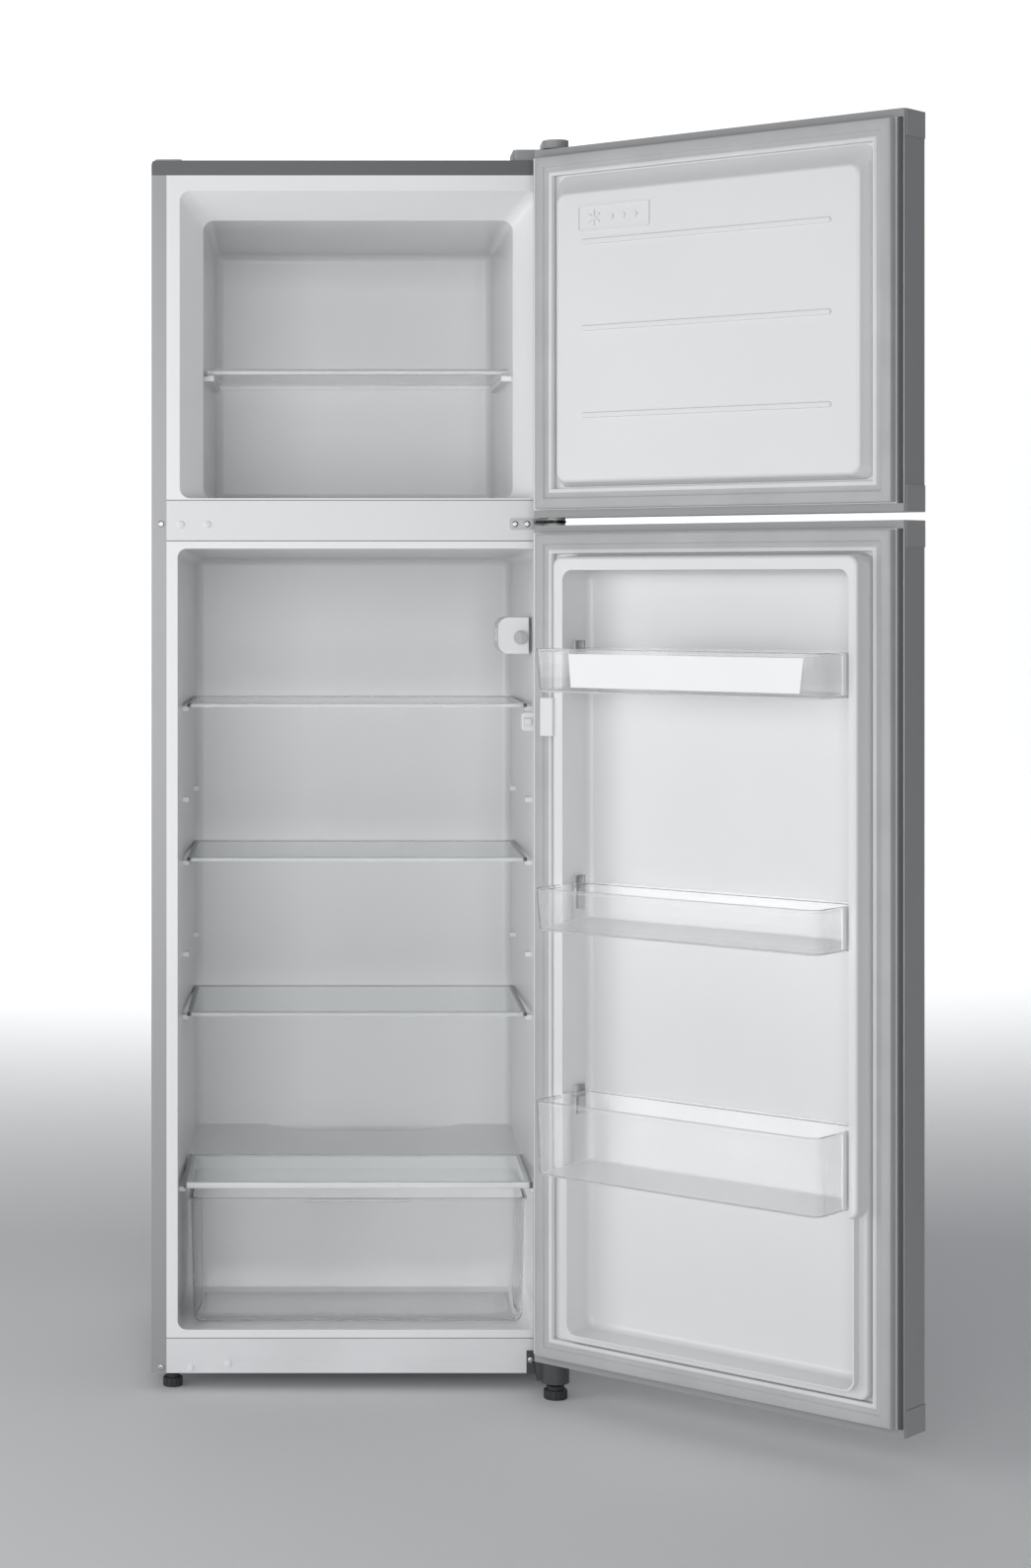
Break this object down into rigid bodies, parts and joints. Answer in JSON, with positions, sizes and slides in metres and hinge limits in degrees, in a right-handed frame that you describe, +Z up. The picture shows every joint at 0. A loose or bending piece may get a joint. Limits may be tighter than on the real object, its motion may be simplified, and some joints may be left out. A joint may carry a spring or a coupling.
{
  "type": "top freezer refrigerator",
  "caption": "Free-standing two-door refrigerator with a freezer on top, right-hung doors, glass shelves, a crisper drawer and clear door bins.",
  "frame": {"origin": "on the floor, under the middle of the cabinet's footprint, doors and condenser left out", "axes": "+Z up, +Y towards the back of the cabinet, +X towards the hinge side, so the front faces -Y"},
  "size_m": [0.9434, 0.9695, 1.6385],
  "materials": {
    "grey_steel": "satin silver-grey painted steel",
    "door_steel": "satin metallic",
    "white_liner": "smooth moulded plastic",
    "white_steel": "white painted steel",
    "galvanised": "galvanised sheet",
    "foam": "rigid foam",
    "aluminium": "mill finish",
    "gasket_grey": "soft grey seal",
    "grey_plastic": "satin grey moulding",
    "black_steel": "black enamel",
    "zinc": "zinc plated",
    "black_plastic": "black moulding",
    "black_rubber": "soft",
    "copper": "copper tube",
    "nylon": "natural nylon",
    "shelf_glass": "clear tempered glass",
    "shelf_trim": "clear-white trim",
    "clear_plastic": "clear moulded plastic",
    "knob_white": "smooth"
  },
  "bodies": {
    "cabinet": {"outer_case": "grey_steel", "back_panel": "galvanised", "cabinet_foam": "foam", "freezer_liner": "white_liner", "fridge_liner": "white_liner", "mullion_cover": "white_liner", "lower_front_rail": "white_steel", "base_plate": "galvanised", "evaporator_plates": "aluminium", "compressor_tray": "galvanised", "compressor_grommets": "black_rubber", "compressor": "black_steel", "condenser_coil": "black_steel", "condenser_wires": "black_steel", "condenser_clips": "black_plastic", "refrigerant_tubes": "copper", "drip_tray": "black_plastic", "thermostat_housing": "white_liner", "lamp_cover": "clear_plastic", "lamp_bulb": "clear_plastic", "switch_housing": "white_liner", "top_hinge_bracket": "black_steel", "top_hinge_cover": "grey_plastic", "middle_hinge_bracket": "zinc", "bottom_hinge_bracket": "black_steel", "hinge_pins": "zinc", "hinge_screws": "zinc", "hole_plugs": "white_liner", "roller_brackets": "galvanised"},
    "freezer_door": {"freezer_door_skin": "door_steel", "freezer_door_foam": "foam", "freezer_door_liner": "white_liner", "freezer_door_gasket": "gasket_grey", "freezer_door_caps": "grey_plastic", "freezer_door_bushes": "nylon"},
    "fridge_door": {"fridge_door_skin": "door_steel", "fridge_door_foam": "foam", "fridge_door_liner": "white_liner", "fridge_door_gasket": "gasket_grey", "fridge_door_caps": "grey_plastic", "fridge_door_bushes": "nylon"},
    "bin_upper": {"bin_upper": "clear_plastic"},
    "bin_middle": {"bin_middle": "clear_plastic"},
    "bin_lower": {"bin_lower": "clear_plastic"},
    "freezer_shelf": {"freezer_shelf": "shelf_glass"},
    "shelf_upper": {"shelf_upper_glass": "shelf_glass", "shelf_upper_trim": "shelf_trim"},
    "shelf_middle": {"shelf_middle_glass": "shelf_glass", "shelf_middle_trim": "shelf_trim"},
    "shelf_lower": {"shelf_lower_glass": "shelf_glass", "shelf_lower_trim": "shelf_trim"},
    "crisper_cover": {"crisper_cover_glass": "shelf_glass", "crisper_cover_trim": "shelf_trim"},
    "crisper_drawer": {"crisper_drawer": "clear_plastic"},
    "thermostat_knob": {"thermostat_knob": "knob_white"},
    "light_switch": {"switch_plunger": "white_liner"},
    "foot_left": {"foot_left": "black_plastic"},
    "foot_right": {"foot_right": "black_plastic"},
    "roller_left": {"roller_left": "black_plastic"},
    "roller_right": {"roller_right": "black_plastic"}
  },
  "joints": [
    {"name": "freezer_door_hinge", "type": "hinge", "parent": "cabinet", "child": "freezer_door", "pos_m": [0.2561, -0.29, 0], "axis": [0, 0, 1], "range_deg": [-139, 0]},
    {"name": "fridge_door_hinge", "type": "hinge", "parent": "cabinet", "child": "fridge_door", "pos_m": [0.2561, -0.29, 0], "axis": [0, 0, 1], "range_deg": [-139, 0]},
    {"name": "bin_upper_lift", "type": "slide", "parent": "fridge_door", "child": "bin_upper", "axis": [0, 0, 1], "range_m": [0, 0.016]},
    {"name": "bin_middle_lift", "type": "slide", "parent": "fridge_door", "child": "bin_middle", "axis": [0, 0, 1], "range_m": [0, 0.016]},
    {"name": "bin_lower_lift", "type": "slide", "parent": "fridge_door", "child": "bin_lower", "axis": [0, 0, 1], "range_m": [0, 0.016]},
    {"name": "freezer_shelf_slide", "type": "slide", "parent": "cabinet", "child": "freezer_shelf", "axis": [0, -1, 0], "range_m": [0, 0.24]},
    {"name": "shelf_upper_slide", "type": "slide", "parent": "cabinet", "child": "shelf_upper", "axis": [0, -1, 0], "range_m": [0, 0.12]},
    {"name": "shelf_middle_slide", "type": "slide", "parent": "cabinet", "child": "shelf_middle", "axis": [0, -1, 0], "range_m": [0, 0.12]},
    {"name": "shelf_lower_slide", "type": "slide", "parent": "cabinet", "child": "shelf_lower", "axis": [0, -1, 0], "range_m": [0, 0.12]},
    {"name": "crisper_cover_slide", "type": "slide", "parent": "cabinet", "child": "crisper_cover", "axis": [0, -1, 0], "range_m": [0, 0.05]},
    {"name": "crisper_drawer_slide", "type": "slide", "parent": "cabinet", "child": "crisper_drawer", "axis": [0, -1, 0], "range_m": [0, 0.15]},
    {"name": "thermostat_turn", "type": "hinge", "parent": "cabinet", "child": "thermostat_knob", "pos_m": [0.2205, -0.15, 0.989], "axis": [0, -1, 0], "range_deg": [0, 300]},
    {"name": "light_switch_press", "type": "slide", "parent": "cabinet", "child": "light_switch", "axis": [0, 1, 0], "range_m": [0, 0.006], "stiffness_N_per_m": 60},
    {"name": "foot_left_turn", "type": "hinge", "parent": "cabinet", "child": "foot_left", "pos_m": [-0.2453, -0.226, 0.01], "axis": [0, 0, 1], "continuous": true},
    {"name": "foot_right_turn", "type": "hinge", "parent": "cabinet", "child": "foot_right", "pos_m": [0.2561, -0.29, 0.01], "axis": [0, 0, 1], "continuous": true},
    {"name": "roller_left_spin", "type": "hinge", "parent": "cabinet", "child": "roller_left", "pos_m": [-0.2325, 0.216, 0.014], "axis": [1, 0, 0], "continuous": true},
    {"name": "roller_right_spin", "type": "hinge", "parent": "cabinet", "child": "roller_right", "pos_m": [0.2325, 0.216, 0.014], "axis": [1, 0, 0], "continuous": true}
  ]
}
